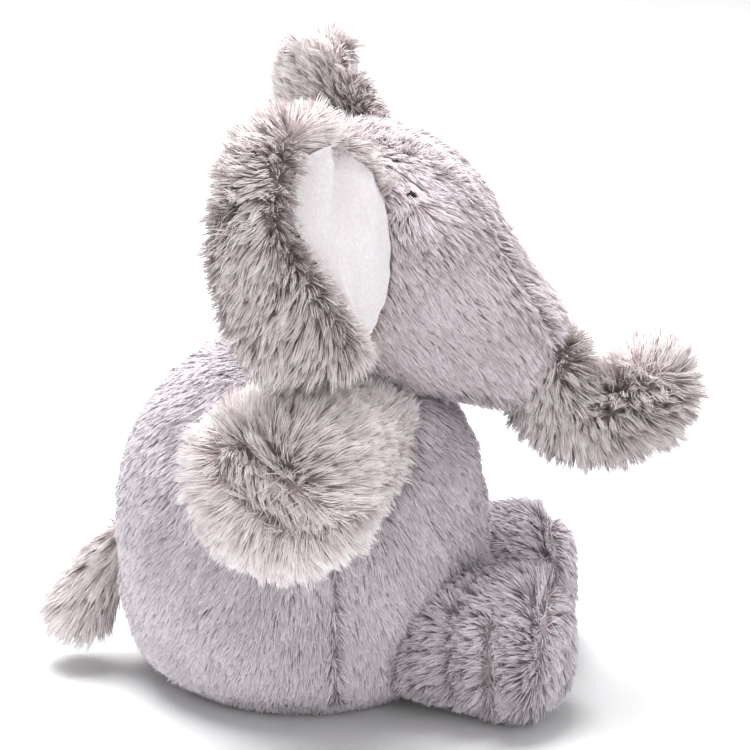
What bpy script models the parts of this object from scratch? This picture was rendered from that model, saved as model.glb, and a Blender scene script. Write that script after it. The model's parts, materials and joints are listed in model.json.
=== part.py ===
"""A stuffed elephant sitting up, as separate sewn panels, fillings and eyes, in metres, +Z up.

It faces +X, sits on z = 0 and its right side is at -Y. Every sewn-on piece has its own empty, at the
middle of its seam and with +X pointing along the piece; it bends about that empty's own axis.
"""

from math import cos, pi, radians, sin

import bmesh
import bpy
from mathutils import Matrix, Vector

MM = 0.001

# Fur fabric with its pressed-down pile, and the gap between touching pieces.
FABRIC = 2.6 * MM
GAP = 0.35 * MM
SEAM = 0.3 * MM
WELD = 0.005 * MM

# How many rings and spokes the forms' sheets have
BODY_GRID = (11, 18)
HEAD_GRID = (12, 16)
HEAD_ROOM_GRID = (9, 12)
TRUNK_GRID = (14, 10)
LIMB_GRID = (10, 12)
TAIL_GRID = (8, 8)
EAR_GRID = (10, 16)
EAR_INSIDE_GRID = (6, 16)

# Where the whole toy stands, so that the middle of its box is over the origin.
TOY_AT = Vector((-1.2 * MM, 0, 0))

BODY_MIDDLE = Vector((-27 * MM, 0, 64 * MM))
BODY_HALF_LENGTH = 78 * MM
BODY_HALF_WIDTH = 70 * MM
BODY_BELOW = 72 * MM
BODY_ABOVE = 88 * MM
BODY_FULLNESS_ABOVE = 2.3
BODY_FULLNESS_BELOW = 2.9
SIDE_SEAM_X = -8 * MM
BELLY_PANEL_TOP = 133.5 * MM
BASE_PANEL_HEIGHT = 9 * MM
PELLET_HEIGHT = 24 * MM

HEAD_AT = Vector((2 * MM, 0, 187 * MM))
HEAD_RADIUS = 53 * MM
SNOUT_LENGTH = 85 * MM
SNOUT_RADIUS = 20 * MM
SNOUT_TILT = radians(32)
GUSSET_HALF_WIDTH = 15 * MM
HEAD_ROOM = 2.4 * MM

# Along the head's form: the share that is a ball, how far round it goes, then the share that is the snout's side
BALL_SHARE = 0.72
BALL_TURN = radians(125)
SNOUT_SIDE_SHARE = 0.8
SNOUT_BULGE = 0.35

EYE_DIRECTION = Vector((0.341, -0.678, 0.651))
EYE_RADIUS = 4.6 * MM
EYE_DOME = 0.72
EYE_BACK = 0.6 * MM
EYE_STANDS_OUT = 0.9 * MM
EYE_SHANK_RADIUS = 1.6 * MM
EYE_SHANK_PAST_FABRIC = 5 * MM
WASHER_RADIUS = 6 * MM
WASHER_THICKNESS = 1.2 * MM
WASHER_PAST_FABRIC = 3 * MM
WASHER_POCKET_DEPTH = 9 * MM
EYE_HOLE_DEPTH = 20 * MM
EYE_CUT_ABOVE = 10 * MM
EYE_STEPS = 14

TRUNK_ROOT = 15 * MM
TRUNK_WAIST = 12.5 * MM
TRUNK_TIP = 16 * MM
TRUNK_BEND = 22.5 * MM
TRUNK_TURN = radians(163)
TRUNK_STRAIGHT = 16 * MM
TRUNK_START_TILT = radians(95)
TRUNK_TIP_PANEL = 6 * MM

# Along the trunk's form: the share that is its root's ball, where its tip starts, and how long that tip is
TRUNK_ROOT_SHARE = 0.25
TRUNK_TIP_START = 0.8
TRUNK_TIP_DEPTH = 0.6

EAR_WIDTH = 86 * MM
EAR_HEIGHT = 106 * MM
EAR_THICKNESS = 11 * MM
EAR_CUP = 9 * MM
EAR_EDGE_START = 0.86
EAR_LINING_SHARE = 0.8
EAR_LINING_SHIFT = 9 * MM
EAR_HALF_GAP = 47 * MM
EAR_SEAM_HEIGHT = 206 * MM
EAR_SEAM_X = {"right": 15 * MM, "left": 12 * MM}
EAR_SPREAD = {"right": radians(42), "left": radians(46)}
EAR_UP = Vector((-0.30, 0, 0.95))
EAR_RISE = 0.12
EAR_FULLNESS = 2.3
EAR_INSIDE_SHARE = 0.72
EAR_WELL_SHARE = 0.78
LINING = 1.5 * MM
WADDING = 3 * MM
WADDING_DEPTH = 0.7 * MM
LINING_DEPTH = 1.1 * MM

# Along a limb's form: the share that is its root's ball, how far round it goes, and where its end starts
LIMB_ROOT_SHARE = 0.35
LIMB_ROOT_TURN = radians(100)
LIMB_END_START = 0.6

ARM_AT = Vector((4 * MM, 36 * MM, 122 * MM))
ARM_DIRECTION = Vector((-0.47, 0.88, -0.02))
ARM_LENGTH = 84 * MM
ARM_ROOT = 17 * MM
ARM_END = 30.5 * MM
ARM_END_DEPTH = 16 * MM
ARM_FLATTEN = 0.95

# The paw panel is a slim oval let into the arm's end, with its long way tilted.
PAW_HALF_LONG = 24 * MM
PAW_HALF_WIDE = 8 * MM
PAW_TILT = radians(30)
PAW_SHIFT_FORWARD = 6 * MM
PAW_SHIFT_UP = 5 * MM

LEG_AT = Vector((33 * MM, 34.5 * MM, 30.7 * MM))
LEG_YAW = radians(6)
LEG_LENGTH = 56 * MM
LEG_ROOT = 24 * MM
LEG_END = 30.5 * MM
LEG_END_DEPTH = 22 * MM
SOLE_DEPTH = 10 * MM

TAIL_AT = Vector((-101 * MM, 0, 60 * MM))
TAIL_DIRECTION = Vector((-0.58, 0, -0.81))
TAIL_LENGTH = 46 * MM
TAIL_ROOT = 7.5 * MM
TAIL_END = 10 * MM
TAIL_END_DEPTH = 9 * MM
TAIL_SKIN = 2 * MM

# How far each piece bends either way about its seam.
NOD = (-8, 5)
CURL = (-15, 10)
FLAP = (-10, 12)
SWING = (-5, 18)
LIFT = (-12, 0)
WAG = (-12, 10)


def clear_scene():
    for thing in list(bpy.data.objects):
        bpy.data.objects.remove(thing)


def new_collection(name):
    collection = bpy.data.collections.new(name)
    bpy.context.scene.collection.children.link(collection)
    return collection


def cloth(name, colour, roughness):
    material = bpy.data.materials.new(name)
    material.use_nodes = True
    shader = material.node_tree.nodes["Principled BSDF"]
    shader.inputs["Base Color"].default_value = (*colour, 1)
    shader.inputs["Roughness"].default_value = roughness
    shader.inputs["Metallic"].default_value = 0
    return material


clear_scene()
toy = new_collection("stuffed_elephant")
cutters = new_collection("cutters")
fur_fabric = cloth("fur", (0.52, 0.47, 0.49), 0.95)
lining_fabric = cloth("lining", (0.84, 0.80, 0.83), 0.85)
filling_fibre = cloth("filling", (0.93, 0.93, 0.92), 0.95)
bag_fabric = cloth("bag", (0.80, 0.79, 0.75), 0.9)
eye_plastic = cloth("eye", (0.01, 0.01, 0.012), 0.15)
washer_plastic = cloth("washer", (0.85, 0.85, 0.83), 0.5)


# Frames

def frame(name, position, direction, up=Vector((0, 0, 1)), parent=None):
    """An empty whose +X points along direction and whose +Z leans towards up."""
    along = direction.normalized()
    side = up.cross(along).normalized()
    over = along.cross(side)
    turn = Matrix((along, side, over)).transposed().to_4x4()
    empty = bpy.data.objects.new(name, None)
    toy.objects.link(empty)
    if parent:
        empty.parent = parent
    empty.matrix_basis = Matrix.Translation(position) @ turn
    return empty


def world_matrix(empty):
    """The empty's place in the world, followed up through its parents."""
    matrix = empty.matrix_basis.copy()
    while empty.parent:
        empty = empty.parent
        matrix = empty.matrix_basis @ matrix
    return matrix


# Meshes

def wrapped_sheet(place, rings, spokes):
    """A flat grid wrapped into a closed form: place(along, around) says where each corner goes."""
    mesh = bmesh.new()
    bmesh.ops.create_grid(mesh, x_segments=rings, y_segments=spokes, size=0.5)
    for corner in mesh.verts:
        corner.co = place(corner.co.x + 0.5, corner.co.y + 0.5)
    bmesh.ops.remove_doubles(mesh, verts=mesh.verts, dist=WELD)
    bmesh.ops.recalc_face_normals(mesh, faces=mesh.faces)
    return mesh


def moved_in(form, depth):
    """A copy of a closed form with every corner moved inwards; a negative depth makes it larger."""
    copy = form.copy()
    copy.normal_update()
    steps = [corner.normal * depth for corner in copy.verts]
    for corner, step in zip(copy.verts, steps):
        corner.co -= step
    return copy


def hollow(form, thickness):
    """The form with a wall of this thickness; the panels cut from it are its open pieces."""
    outside = bpy.data.meshes.new("outside")
    form.to_mesh(outside)
    wall = moved_in(form, thickness)
    bmesh.ops.reverse_faces(wall, faces=wall.faces)
    wall.from_mesh(outside)
    bpy.data.meshes.remove(outside)
    return wall


def add_part(name, mesh, material, parent=None, smooth=True):
    data = bpy.data.meshes.new(name)
    mesh.to_mesh(data)
    data.materials.append(material)
    for face in data.polygons:
        face.use_smooth = smooth
    part = bpy.data.objects.new(name, data)
    part.parent = parent
    toy.objects.link(part)
    return part


def add_cutter(name, mesh, parent=None):
    data = bpy.data.meshes.new(name)
    mesh.to_mesh(data)
    cutter = bpy.data.objects.new(name, data)
    cutter.parent = parent
    cutter.hide_render = True
    cutter.display_type = "WIRE"
    cutters.objects.link(cutter)
    return cutter


def box_cutter(name, low, high, parent=None):
    """A box between two corners; None on a side means far past the piece."""
    far = 500 * MM
    low = Vector([-far if value is None else value for value in low])
    high = Vector([far if value is None else value for value in high])
    mesh = bmesh.new()
    bmesh.ops.create_cube(mesh, size=1)
    for corner in mesh.verts:
        corner.co = Vector([low[i] if corner.co[i] < 0 else high[i] for i in range(3)])
    return add_cutter(name, mesh, parent)


def boolean(part, cutter, operation):
    step = part.modifiers.new(cutter.name, "BOOLEAN")
    step.object = cutter
    step.operation = operation
    step.solver = "EXACT"


def keep(part, *boxes):
    for box in boxes:
        boolean(part, box, "INTERSECT")


def swept_room(name, form, empty, axis, degrees, reach=None, clearance=GAP):
    """A cutter for the room a piece takes up as it bends through its whole range about its seam.

    With reach, only the corners that near the seam count, so that a curved piece sweeps its root alone.
    """
    larger = moved_in(form, -clearance)
    place = world_matrix(empty)
    low, high = degrees
    steps = 2
    room = bmesh.new()
    for step in range(steps + 1):
        angle = radians(low + (high - low) * step / steps)
        turn = place @ Matrix.Rotation(angle, 4, axis)
        for corner in larger.verts:
            if reach is None or corner.co.length <= reach:
                room.verts.new(turn @ corner.co)
    result = bmesh.ops.convex_hull(room, input=room.verts)
    spare = {item for item in result["geom_interior"] if isinstance(item, bmesh.types.BMVert)}
    spare |= {item for item in result["geom_unused"] if isinstance(item, bmesh.types.BMVert)}
    bmesh.ops.delete(room, geom=list(spare), context="VERTS")
    return add_cutter(name, room)


# Outlines of the padded pieces

def smooth_step(value):
    value = min(max(value, 0), 1)
    return value * value * (3 - 2 * value)


def egg(along, around):
    """The body: an egg, wider low down, with a flat where it sits."""
    rise = -cos(pi * along)
    spread = sin(pi * along)
    power = 2 / (BODY_FULLNESS_ABOVE if rise > 0 else BODY_FULLNESS_BELOW)
    height = BODY_ABOVE if rise > 0 else BODY_BELOW
    z = BODY_MIDDLE.z + height * (abs(rise) ** power) * (1 if rise > 0 else -1)
    out = abs(spread) ** power
    angle = 2 * pi * around
    x = BODY_MIDDLE.x + BODY_HALF_LENGTH * out * cos(angle)
    y = BODY_HALF_WIDTH * out * sin(angle)
    return Vector((x, y, max(z, 0)))


def head_form(along, around):
    """The head about its own axis: a ball that draws in to the snout, with the seam at its end."""
    if along < BALL_SHARE:
        angle = BALL_TURN * along / BALL_SHARE
        x = -HEAD_RADIUS * cos(angle)
        radius = HEAD_RADIUS * sin(angle)
    else:
        start_x = -HEAD_RADIUS * cos(BALL_TURN)
        start_radius = HEAD_RADIUS * sin(BALL_TURN)
        part = (along - BALL_SHARE) / (1 - BALL_SHARE)
        side = min(part / SNOUT_SIDE_SHARE, 1)
        x = start_x + (SNOUT_LENGTH - start_x) * side
        ease = side + SNOUT_BULGE * side * (1 - side)
        radius = start_radius + (SNOUT_RADIUS - start_radius) * ease
        if part > SNOUT_SIDE_SHARE:
            radius = SNOUT_RADIUS * max(0, (1 - part) / (1 - SNOUT_SIDE_SHARE))
    angle = 2 * pi * around
    return Vector((x, radius * cos(angle), radius * sin(angle)))


def limb_form(length, root, end, end_depth, flatten=1.0):
    """A limb along +X: a ball at the root widening into a rounded, fuller end."""
    def place(along, around):
        if along < LIMB_ROOT_SHARE:
            angle = LIMB_ROOT_TURN * along / LIMB_ROOT_SHARE
            x = -root * cos(angle)
            radius = root * sin(angle)
        elif along > LIMB_END_START:
            angle = (pi / 2) * (along - LIMB_END_START) / (1 - LIMB_END_START)
            x = length - end_depth + end_depth * sin(angle) ** 0.9
            radius = end * cos(angle) ** 0.75
        else:
            part = (along - LIMB_ROOT_SHARE) / (LIMB_END_START - LIMB_ROOT_SHARE)
            start_x = -root * cos(LIMB_ROOT_TURN)
            start_radius = root * sin(LIMB_ROOT_TURN)
            x = start_x + (length - end_depth - start_x) * part
            radius = start_radius + (end - start_radius) * sin(part * pi / 2)
        angle = 2 * pi * around
        squeeze = 1 + (flatten - 1) * smooth_step(x / length)
        return Vector((x, radius * cos(angle), radius * squeeze * sin(angle)))
    return place


def trunk_spine(distance):
    """Where the trunk's middle line is and which way it runs, this far from its seam."""
    arc_length = TRUNK_BEND * TRUNK_TURN
    if distance < 0:
        return Vector((distance, 0, 0)), 0
    if distance < arc_length:
        turn = distance / TRUNK_BEND
        return Vector((TRUNK_BEND * sin(turn), 0, TRUNK_BEND * (1 - cos(turn)))), turn
    end = Vector((TRUNK_BEND * sin(TRUNK_TURN), 0, TRUNK_BEND * (1 - cos(TRUNK_TURN))))
    run = Vector((cos(TRUNK_TURN), 0, sin(TRUNK_TURN)))
    return end + run * (distance - arc_length), TRUNK_TURN


def trunk_form(along, around):
    """The trunk: a ball at its seam, a waist, and a fuller round tip."""
    total = TRUNK_BEND * TRUNK_TURN + TRUNK_STRAIGHT
    tip_depth = TRUNK_TIP * TRUNK_TIP_DEPTH
    if along < TRUNK_ROOT_SHARE:
        angle = radians(90) * along / TRUNK_ROOT_SHARE
        distance = -TRUNK_ROOT * cos(angle)
        radius = TRUNK_ROOT * sin(angle)
    elif along > TRUNK_TIP_START:
        angle = radians(90) * (along - TRUNK_TIP_START) / (1 - TRUNK_TIP_START)
        distance = total - tip_depth * (1 - sin(angle))
        radius = TRUNK_TIP * cos(angle) ** 0.8
    else:
        part = (along - TRUNK_ROOT_SHARE) / (TRUNK_TIP_START - TRUNK_ROOT_SHARE)
        distance = (total - tip_depth) * part
        drawn = TRUNK_ROOT + (TRUNK_WAIST - TRUNK_ROOT) * smooth_step(part / 0.5)
        radius = drawn + (TRUNK_TIP - TRUNK_WAIST) * smooth_step((part - 0.45) / 0.55)
    middle, turn = trunk_spine(distance)
    angle = 2 * pi * around
    outward = Vector((-sin(turn), 0, cos(turn)))
    return middle + Vector((0, 1, 0)) * radius * cos(angle) + outward * radius * sin(angle)


def ear_outline(angle):
    """The ear's edge about its middle: rounder away from the head, fuller along the seam."""
    power = 2 / EAR_FULLNESS
    across = abs(cos(angle)) ** power * (1 if cos(angle) > 0 else -1)
    up = abs(sin(angle)) ** power * (1 if sin(angle) > 0 else -1)
    return Vector((EAR_WIDTH / 2 * across, EAR_HEIGHT / 2 * up * (0.9 + 0.1 * across)))


def ear_bow(x, share):
    """How far the ear's sheet is cupped towards its front at this place."""
    return EAR_CUP * share * share * smooth_step(x / EAR_WIDTH)


def ear_sheet(share_limit, depth, half_thickness, rim, narrow=1.0, towards_head=0.0):
    """A padded disc in the ear's outline: local +X away from the head, +Z up, -Y its front."""
    def place(along, around):
        angle = 2 * pi * around
        turning = pi * along
        share = min(sin(turning) / EAR_EDGE_START, 1) * share_limit
        edge = ear_outline(angle)
        x = EAR_WIDTH / 2 - towards_head + edge.x * share * narrow
        z = edge.y * share
        swell = abs(cos(turning)) ** rim * (1 if turning < pi / 2 else -1)
        return Vector((x, half_thickness * swell - depth - ear_bow(x, share), z))
    return place


# The body

def build_body(root):
    form = wrapped_sheet(egg, *BODY_GRID)
    body = frame("body", Vector((0, 0, 0)), Vector((1, 0, 0)), parent=root)
    above_base = box_cutter(
        "above_base", (None, None, BASE_PANEL_HEIGHT + SEAM / 2), (None, None, None), body)
    base_only = box_cutter(
        "base_only", (None, None, None), (None, None, BASE_PANEL_HEIGHT - SEAM / 2), body)
    panels = []
    for end, back_x, front_x, top in (("back", None, SIDE_SEAM_X - SEAM / 2, None),
                                      ("belly", SIDE_SEAM_X + SEAM / 2, None, BELLY_PANEL_TOP)):
        for side, sign in (("right", -1), ("left", 1)):
            low = (back_x, SEAM / 2 if sign > 0 else None, None)
            high = (front_x, None if sign > 0 else -SEAM / 2, top)
            quarter = box_cutter(f"body_{end}_{side}_only", low, high, body)
            panel = add_part(f"body_{end}_panel_{side}", hollow(form, FABRIC), fur_fabric, body)
            keep(panel, quarter, above_base)
            panels.append(panel)
    base = add_part("body_base_panel", hollow(form, FABRIC), fur_fabric, body)
    keep(base, base_only)
    inside = moved_in(form, FABRIC + GAP)
    filling = add_part("body_filling", inside, filling_fibre, body)
    keep(filling, box_cutter(
        "above_pellets", (None, None, PELLET_HEIGHT + SEAM), (None, None, None), body))
    pellets = add_part("pellet_bag", inside, bag_fabric, body)
    keep(pellets, box_cutter("pellets_only", (None, None, None), (None, None, PELLET_HEIGHT), body))
    return body, panels + [base, filling, pellets]


# The head and its eyes

def eye_profile():
    """The eye from its top down its outer side: a dome, a flat back and a shank."""
    points = [Vector((EYE_RADIUS * sin(a), 0, EYE_RADIUS * EYE_DOME * cos(a)))
              for a in [radians(22.5 * step) for step in range(5)]]
    shank_end = -(FABRIC + EYE_SHANK_PAST_FABRIC)
    points.append(Vector((EYE_RADIUS, 0, -EYE_BACK)))
    points.append(Vector((EYE_SHANK_RADIUS, 0, -EYE_BACK)))
    points.append(Vector((EYE_SHANK_RADIUS, 0, shank_end)))
    points.append(Vector((0, 0, shank_end)))
    return points


def ring_profile(inner, outer, bottom, top):
    return [Vector((inner, 0, top)), Vector((outer, 0, top)), Vector((outer, 0, bottom)),
            Vector((inner, 0, bottom))]


def add_turned(name, points, steps, material, parent, closed=False):
    """A profile turned about the parent's Z axis with a Screw modifier."""
    data = bpy.data.meshes.new(name)
    edges = [(i, i + 1) for i in range(len(points) - 1)]
    if closed:
        edges.append((len(points) - 1, 0))
    data.from_pydata(points, edges, [])
    data.materials.append(material)
    part = bpy.data.objects.new(name, data)
    part.parent = parent
    toy.objects.link(part)
    turned = part.modifiers.new("turned", "SCREW")
    turned.steps = steps
    turned.render_steps = steps
    turned.use_merge_vertices = True
    turned.merge_threshold = 0.01 * MM
    return part


def cylinder_cutter(name, radius, bottom, top, parent):
    mesh = bmesh.new()
    bmesh.ops.create_cone(mesh, cap_ends=True, segments=16, radius1=radius, radius2=radius,
                          depth=top - bottom)
    bmesh.ops.translate(mesh, verts=mesh.verts, vec=Vector((0, 0, (top + bottom) / 2)))
    return add_cutter(name, mesh, parent)


def oval_cutter(name, half_long, half_wide, start, parent):
    """An oval rod along +X from start to past the piece, with its long way along Y."""
    mesh = bmesh.new()
    bmesh.ops.create_cone(mesh, cap_ends=True, segments=20, radius1=1, radius2=1, depth=2)
    for corner in mesh.verts:
        x, y, z = corner.co
        corner.co = Vector((start + (z + 1) * 50 * MM, x * half_long, y * half_wide))
    return add_cutter(name, mesh, parent)


def add_eye(side, sign, head, panel, filling):
    """A safety eye pushed through the head's panel, with its washer behind the fabric."""
    direction = Vector((EYE_DIRECTION.x, -sign * EYE_DIRECTION.y, EYE_DIRECTION.z)).normalized()
    turn = world_matrix(head).to_3x3().inverted() @ direction
    place = frame(f"eye_{side}_seat", turn * (HEAD_RADIUS + EYE_STANDS_OUT), turn, Vector((0, 1, 0)), head)
    seat = bpy.data.objects.new(f"eye_{side}_axis", None)
    seat.parent = place
    seat.rotation_euler = (0, pi / 2, 0)
    toy.objects.link(seat)
    add_turned(f"eye_{side}", eye_profile(), EYE_STEPS, eye_plastic, seat)
    behind = -(FABRIC + WASHER_PAST_FABRIC)
    add_turned(f"eye_washer_{side}",
               ring_profile(EYE_SHANK_RADIUS + SEAM, WASHER_RADIUS, behind - WASHER_THICKNESS, behind),
               EYE_STEPS, washer_plastic, seat, closed=True)
    for cut, part, radius, depth in (("hole", panel, EYE_SHANK_RADIUS, EYE_HOLE_DEPTH),
                                     ("dimple", panel, EYE_RADIUS, EYE_STANDS_OUT),
                                     ("pocket", filling, WASHER_RADIUS, WASHER_POCKET_DEPTH)):
        cutter = cylinder_cutter(f"eye_{cut}_{side}", radius + SEAM, -depth, EYE_CUT_ABOVE, seat)
        boolean(part, cutter, "DIFFERENCE")


def build_head(root):
    form = wrapped_sheet(head_form, *HEAD_GRID)
    towards_snout = Vector((cos(SNOUT_TILT), 0, -sin(SNOUT_TILT)))
    head = frame("head", HEAD_AT, towards_snout, parent=root)
    inside = moved_in(form, FABRIC + GAP)
    filling = add_part("head_filling", inside, filling_fibre, head)
    parts = [filling]
    for side, sign in (("right", -1), ("left", 1)):
        edge = sign * (GUSSET_HALF_WIDTH + SEAM / 2)
        low = (None, edge if sign > 0 else None, None)
        high = (None, None if sign > 0 else edge, None)
        panel = add_part(f"head_panel_{side}", hollow(form, FABRIC), fur_fabric, head)
        keep(panel, box_cutter(f"{side}_of_gusset", low, high, head))
        add_eye(side, sign, head, panel, filling)
        parts.append(panel)
    width = GUSSET_HALF_WIDTH - SEAM / 2
    gusset = add_part("head_gusset", hollow(form, FABRIC), fur_fabric, head)
    keep(gusset, box_cutter("gusset_only", (None, -width, None), (None, width, None), head))
    parts.append(gusset)
    room_form = wrapped_sheet(head_form, *HEAD_ROOM_GRID)
    return head, room_form, parts


# The trunk

def build_trunk(head):
    form = wrapped_sheet(trunk_form, *TRUNK_GRID)
    direction = Vector((cos(TRUNK_START_TILT - SNOUT_TILT), 0, -sin(TRUNK_START_TILT - SNOUT_TILT)))
    seam = Vector((SNOUT_LENGTH + 1 * MM, 0, 0))
    trunk = frame("trunk", seam, direction, parent=head)
    tip_middle, turn = trunk_spine(TRUNK_BEND * TRUNK_TURN + TRUNK_STRAIGHT - TRUNK_TIP_PANEL)
    tip_frame = frame("trunk_tip", tip_middle, Vector((cos(turn), 0, sin(turn))), parent=trunk)
    past_tip = box_cutter("trunk_tip_only", (SEAM / 2, None, None), (40 * MM, None, None), tip_frame)
    tip_off = box_cutter("trunk_without_tip", (-SEAM / 2, -40 * MM, -24 * MM),
                         (40 * MM, 40 * MM, 40 * MM), tip_frame)
    for side, sign in (("right", -1), ("left", 1)):
        low = (None, SEAM / 2 if sign > 0 else None, None)
        high = (None, None if sign > 0 else -SEAM / 2, None)
        panel = add_part(f"trunk_panel_{side}", hollow(form, FABRIC), fur_fabric, trunk)
        keep(panel, box_cutter(f"{side}_half_of_trunk", low, high, trunk))
        boolean(panel, tip_off, "DIFFERENCE")
    tip = add_part("trunk_tip_panel", hollow(form, FABRIC), fur_fabric, trunk)
    keep(tip, past_tip)
    add_part("trunk_filling", moved_in(form, FABRIC + GAP), filling_fibre, trunk)
    return trunk, form


# Limbs and tail

def build_limb(name, empty, seams, form, end_shape, end_name):
    """Two skin panels that meet across the seams' middle plane, an end panel sewn in, and the filling.

    end_shape(name, grown) makes the cutter that leaves the end panel, that much larger all round."""
    for half, low_z, high_z in (("top", SEAM / 2, None), ("under", None, -SEAM / 2)):
        panel = add_part(f"{name}_{half}_panel", hollow(form, FABRIC), fur_fabric, empty)
        keep(panel, box_cutter(f"{name}_{half}_half", (None, None, low_z), (None, None, high_z), seams))
        boolean(panel, end_shape(f"{name}_{half}_without_end", SEAM / 2), "DIFFERENCE")
    end = add_part(f"{name}_{end_name}_panel", hollow(form, FABRIC), fur_fabric, empty)
    keep(end, end_shape(f"{name}_end_only", -SEAM / 2))
    add_part(f"{name}_filling", moved_in(form, FABRIC + GAP), filling_fibre, empty)


def build_arm(side, sign, root):
    direction = Vector((ARM_DIRECTION.x, sign * ARM_DIRECTION.y, ARM_DIRECTION.z))
    arm = frame(f"arm_{side}", Vector((ARM_AT.x, sign * ARM_AT.y, ARM_AT.z)), direction, parent=root)
    across_paw = Vector((0, -sign * sin(PAW_TILT), cos(PAW_TILT)))
    paw_middle = Vector((0, -sign * PAW_SHIFT_FORWARD, PAW_SHIFT_UP))
    seams = frame(f"arm_{side}_seams", paw_middle, Vector((1, 0, 0)), across_paw, arm)
    shape = limb_form(ARM_LENGTH, ARM_ROOT, ARM_END, ARM_END_DEPTH, ARM_FLATTEN)
    form = wrapped_sheet(shape, *LIMB_GRID)

    def paw_shape(name, grown):
        return oval_cutter(name, PAW_HALF_LONG + grown, PAW_HALF_WIDE + grown,
                           ARM_LENGTH - ARM_END_DEPTH, seams)

    build_limb(f"arm_{side}", arm, seams, form, paw_shape, "paw")
    return arm, form


def build_leg(side, sign, root):
    direction = Vector((cos(LEG_YAW), sign * sin(LEG_YAW), 0))
    leg = frame(f"leg_{side}", Vector((LEG_AT.x, sign * LEG_AT.y, LEG_AT.z)), direction, parent=root)
    form = wrapped_sheet(limb_form(LEG_LENGTH, LEG_ROOT, LEG_END, LEG_END_DEPTH), *LIMB_GRID)

    def sole_shape(name, grown):
        return box_cutter(name, (LEG_LENGTH - SOLE_DEPTH - grown, None, None), (None, None, None), leg)

    build_limb(f"leg_{side}", leg, leg, form, sole_shape, "sole")
    return leg, form


def build_tail(root):
    tail = frame("tail", TAIL_AT, TAIL_DIRECTION, parent=root)
    form = wrapped_sheet(limb_form(TAIL_LENGTH, TAIL_ROOT, TAIL_END, TAIL_END_DEPTH), *TAIL_GRID)
    skin = add_part("tail_skin", hollow(form, TAIL_SKIN), fur_fabric, tail)
    keep(skin, box_cutter("tail_root_open", (-3 * MM, None, None), (None, None, None), tail))
    add_part("tail_filling", moved_in(form, TAIL_SKIN + GAP), filling_fibre, tail)
    return tail, form


# Ears

def build_ear(side, sign, head):
    """A fur sheet rolled over at its edge, with wadding and a smooth lining set into its front."""
    to_head = world_matrix(head).inverted()
    place = TOY_AT + Vector((EAR_SEAM_X[side], sign * EAR_HALF_GAP, EAR_SEAM_HEIGHT))
    away = Vector((-cos(EAR_SPREAD[side]), sign * sin(EAR_SPREAD[side]), EAR_RISE))
    turn = to_head.to_3x3()
    ear = frame(f"ear_{side}", to_head @ place, turn @ away, turn @ EAR_UP, head)
    front = -sign
    back_form = wrapped_sheet(ear_sheet(1.0, 0, EAR_THICKNESS / 2, 0.45), *EAR_GRID)
    inset = (0.25, EAR_LINING_SHARE, EAR_LINING_SHIFT)
    well = wrapped_sheet(ear_sheet(
        EAR_WELL_SHARE, EAR_THICKNESS / 2, EAR_THICKNESS / 2, 0.15, *inset[1:]), *EAR_INSIDE_GRID)
    pad_depth = WADDING_DEPTH + WADDING / 2
    pad = wrapped_sheet(ear_sheet(EAR_INSIDE_SHARE, pad_depth, WADDING / 2, *inset), *EAR_INSIDE_GRID)
    lining_depth = LINING_DEPTH + WADDING + LINING / 2
    face = wrapped_sheet(ear_sheet(EAR_INSIDE_SHARE, lining_depth, LINING / 2, *inset), *EAR_INSIDE_GRID)
    if front > 0:
        for mesh in (back_form, well, pad, face):
            bmesh.ops.scale(mesh, vec=Vector((1, -1, 1)), verts=mesh.verts)
            bmesh.ops.reverse_faces(mesh, faces=mesh.faces)
    back = add_part(f"ear_{side}_fur_back", back_form, fur_fabric, ear)
    boolean(back, add_cutter(f"ear_{side}_well", well, ear), "DIFFERENCE")
    add_part(f"ear_{side}_wadding", pad, filling_fibre, ear)
    add_part(f"ear_{side}_lining", face, lining_fabric, ear)
    return ear, back_form


def build_toy():
    root = frame("elephant", TOY_AT, Vector((1, 0, 0)))
    body, body_parts = build_body(root)
    head, head_shape, head_parts = build_head(root)
    rooms = [swept_room("head_room", head_shape, head, "Y", NOD, clearance=HEAD_ROOM)]
    for side, sign in (("right", -1), ("left", 1)):
        arm, form = build_arm(side, sign, root)
        rooms.append(swept_room(f"arm_{side}_room", form, arm, "Y", SWING))
        leg, form = build_leg(side, sign, root)
        rooms.append(swept_room(f"leg_{side}_room", form, leg, "Y", LIFT))
    tail, form = build_tail(root)
    rooms.append(swept_room("tail_room", form, tail, "Y", WAG))
    for part in body_parts:
        for room in rooms:
            boolean(part, room, "DIFFERENCE")
    trunk, trunk_shape = build_trunk(head)
    head_rooms = [swept_room("trunk_room", trunk_shape, trunk, "Y", CURL, TRUNK_ROOT * 2)]
    for side, sign in (("right", -1), ("left", 1)):
        ear, form = build_ear(side, sign, head)
        head_rooms.append(swept_room(f"ear_{side}_room", form, ear, "Z", FLAP))
    for part in head_parts:
        for room in head_rooms:
            boolean(part, room, "DIFFERENCE")


build_toy()
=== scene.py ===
"""Looks of the stuffed elephant: puffed skins, combed plush fur, ear linings, eyes, and a plain studio."""
import json
from math import cos, pi, radians, sin

import bmesh
import bpy
import numpy as np
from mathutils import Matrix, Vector
from mathutils.bvhtree import BVHTree
from mathutils.kdtree import KDTree


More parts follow.
